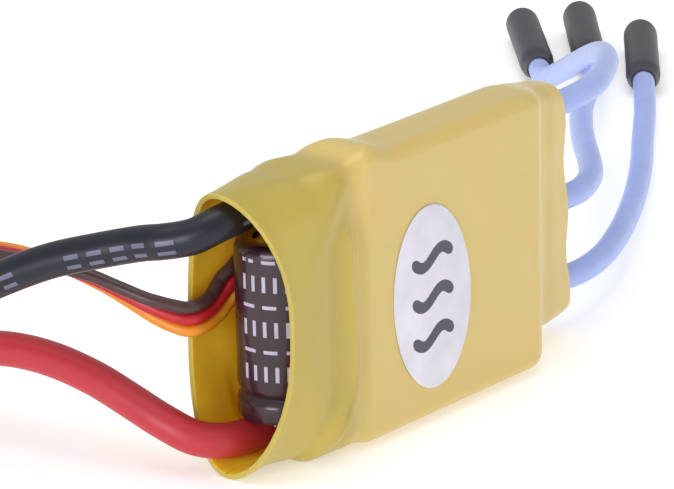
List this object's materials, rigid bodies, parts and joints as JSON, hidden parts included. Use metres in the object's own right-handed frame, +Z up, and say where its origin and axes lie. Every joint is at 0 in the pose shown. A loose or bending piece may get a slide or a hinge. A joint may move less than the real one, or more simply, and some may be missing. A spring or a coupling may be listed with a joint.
{
  "type": "electronic speed controller",
  "caption": "Brushless motor speed controller in a heat-shrink sleeve, with battery leads at one end, motor leads with bullet sockets at the other and a servo signal lead.",
  "frame": {"origin": "centre of the bottom of the controller's body, where its lower long edge stands on a surface", "axes": "+X from the battery end to the motor end, -Y out of the labelled face, +Z up across the body's width"},
  "size_m": [0.1769, 0.0698, 0.0262],
  "materials": {
    "sleeve": "satin heat-shrink tube",
    "label": "satin sticker",
    "board": "solder mask",
    "aluminium": "as cut",
    "pad": "soft pad",
    "chip": "moulded epoxy",
    "ceramic": "ceramic and tin",
    "wrap": "shrunk film",
    "can": "drawn",
    "bung": "rubber",
    "tin": "tinned copper",
    "solder": "soft solder",
    "black_silicone": "satin silicone",
    "red_silicone": "satin silicone",
    "blue_silicone": "satin silicone",
    "black_shrink": "satin heat-shrink tube",
    "gold": "gold plate",
    "brown_wire": "satin",
    "red_wire": "satin",
    "orange_wire": "satin",
    "tie": "satin",
    "plug": "moulded nylon"
  },
  "bodies": {
    "root": {"heat_shrink_sleeve": "sleeve", "oval_label": "label", "circuit_board": "board", "heat_spreader": "aluminium", "thermal_pad": "pad", "mosfet_1": "chip", "mosfet_2": "chip", "mosfet_3": "chip", "mosfet_4": "chip", "mosfet_5": "chip", "mosfet_6": "chip", "mosfet_7": "chip", "mosfet_8": "chip", "mosfet_9": "chip", "mosfet_10": "chip", "mosfet_11": "chip", "mosfet_12": "chip", "microcontroller": "chip", "resonator": "ceramic", "regulator_1": "chip", "regulator_2": "chip", "capacitor_can": "can", "capacitor_wrap": "wrap", "capacitor_bung": "bung", "capacitor_lead_negative": "tin", "capacitor_lead_positive": "tin", "battery_lead_black": "black_silicone", "battery_lead_red": "red_silicone", "battery_tip_black": "tin", "battery_tip_red": "tin", "battery_solder_black": "solder", "battery_solder_red": "solder", "motor_lead_1": "blue_silicone", "motor_lead_2": "blue_silicone", "motor_lead_3": "blue_silicone", "socket_shrink_1": "black_shrink", "socket_shrink_2": "black_shrink", "socket_shrink_3": "black_shrink", "bullet_socket_1": "gold", "bullet_socket_2": "gold", "bullet_socket_3": "gold", "motor_solder_1": "solder", "motor_solder_2": "solder", "motor_solder_3": "solder", "signal_wire_brown": "brown_wire", "signal_wire_red": "red_wire", "signal_wire_orange": "orange_wire", "signal_coil_brown": "brown_wire", "signal_coil_red": "red_wire", "signal_coil_orange": "orange_wire", "signal_tail_brown": "brown_wire", "signal_tail_red": "red_wire", "signal_tail_orange": "orange_wire", "coil_tie": "tie", "servo_plug": "plug", "plug_contact_1": "gold", "plug_contact_2": "gold", "plug_contact_3": "gold"}
  },
  "joints": []
}
